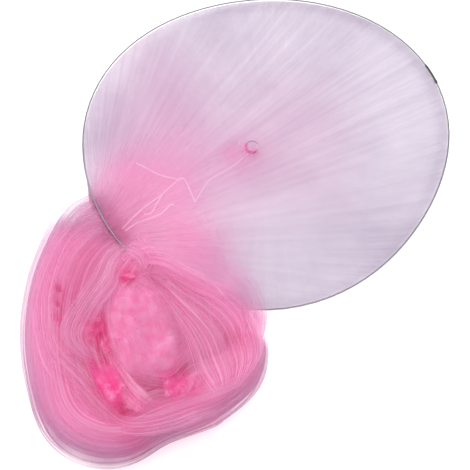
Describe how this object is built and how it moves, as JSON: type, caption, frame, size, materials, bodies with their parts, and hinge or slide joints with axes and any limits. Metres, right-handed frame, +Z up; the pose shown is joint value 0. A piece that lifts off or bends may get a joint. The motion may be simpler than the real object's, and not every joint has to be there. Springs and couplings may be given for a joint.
{
  "type": "bed canopy mosquito net with its wire hoop",
  "caption": "Round wire hoop with a sheer roof panel and a small hanging ring, and a long tulle skirt gathered under it and wound into a coil at one side.",
  "frame": {"origin": "on the surface that the part lies on, under the middle of its bounding box", "axes": "+Z up; +X to the right and +Y away from the viewer, with the wound skirt at -X -Y and the hoop at +X +Y"},
  "size_m": [0.6752, 0.8756, 0.1367],
  "materials": {
    "pink_tulle": "fine sheer knitted tulle, bright pink where many layers lie together",
    "sheer_tulle": "one layer of the same tulle, pale lilac",
    "steel_wire": "grey spring steel wire",
    "dark_sleeve": "dark satin sleeve",
    "ring_metal": "dull nickel"
  },
  "bodies": {
    "root": {"hoop": "steel_wire", "hoop_sleeve": "dark_sleeve", "hanging_ring": "ring_metal", "ring_binding": "pink_tulle", "top_panel": "sheer_tulle", "skirt": "pink_tulle"}
  },
  "joints": []
}
